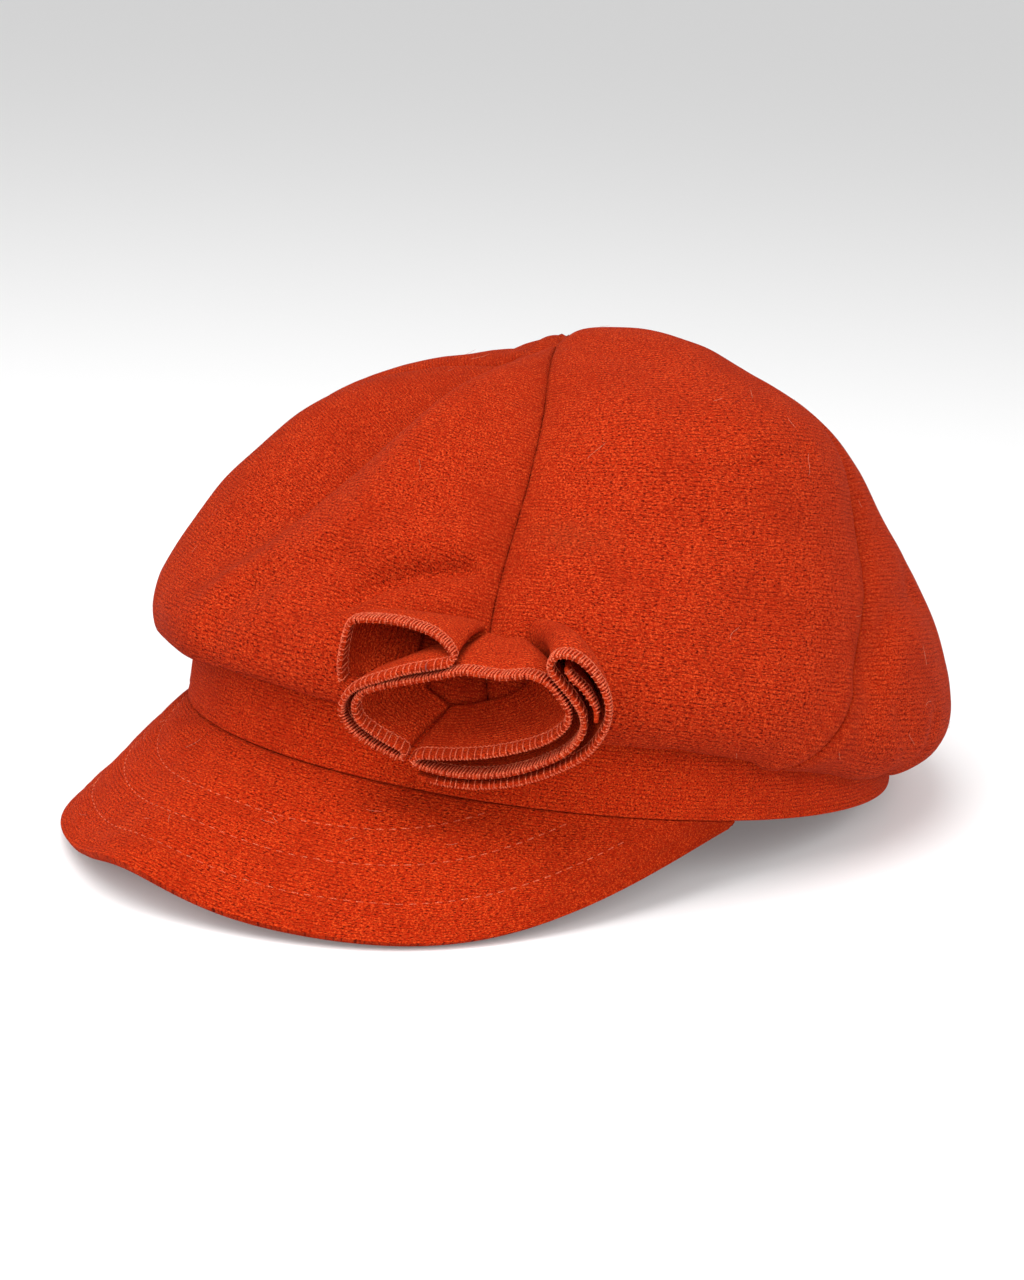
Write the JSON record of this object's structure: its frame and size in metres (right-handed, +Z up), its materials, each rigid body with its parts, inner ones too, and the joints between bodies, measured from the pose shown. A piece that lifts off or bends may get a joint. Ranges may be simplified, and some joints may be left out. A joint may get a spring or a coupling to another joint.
{
  "type": "newsboy cap",
  "caption": "Soft full crown of sewn gores puffed out over a narrow head band, with a short curved cloth peak and a folded cloth rosette at the wearer's left front.",
  "frame": {"origin": "middle of the footprint, on the surface the cap rests on", "axes": "+Z up, the wearer's front is -Y, the wearer's left is +X; the cap rests on the back of its rim and on the sides of its peak, rim tipped 8.5 degrees"},
  "size_m": [0.1906, 0.2558, 0.1194],
  "materials": {
    "crown_cloth": "brushed felted wool, matt",
    "band_cloth": "brushed felted wool, matt",
    "peak_cloth": "brushed felted wool, matt",
    "peak_under_cloth": "brushed felted wool, matt",
    "rosette_cloth": "brushed felted wool with overlocked edge"
  },
  "bodies": {
    "root": {"band": "band_cloth", "crown_panel_front": "crown_cloth", "crown_panel_front_left": "crown_cloth", "crown_panel_back_left": "crown_cloth", "crown_panel_back": "crown_cloth", "crown_panel_back_right": "crown_cloth", "crown_panel_front_right": "crown_cloth", "peak_top": "peak_cloth", "peak_under": "peak_under_cloth", "rosette_strip": "rosette_cloth", "rosette_tongue": "rosette_cloth"}
  },
  "joints": []
}
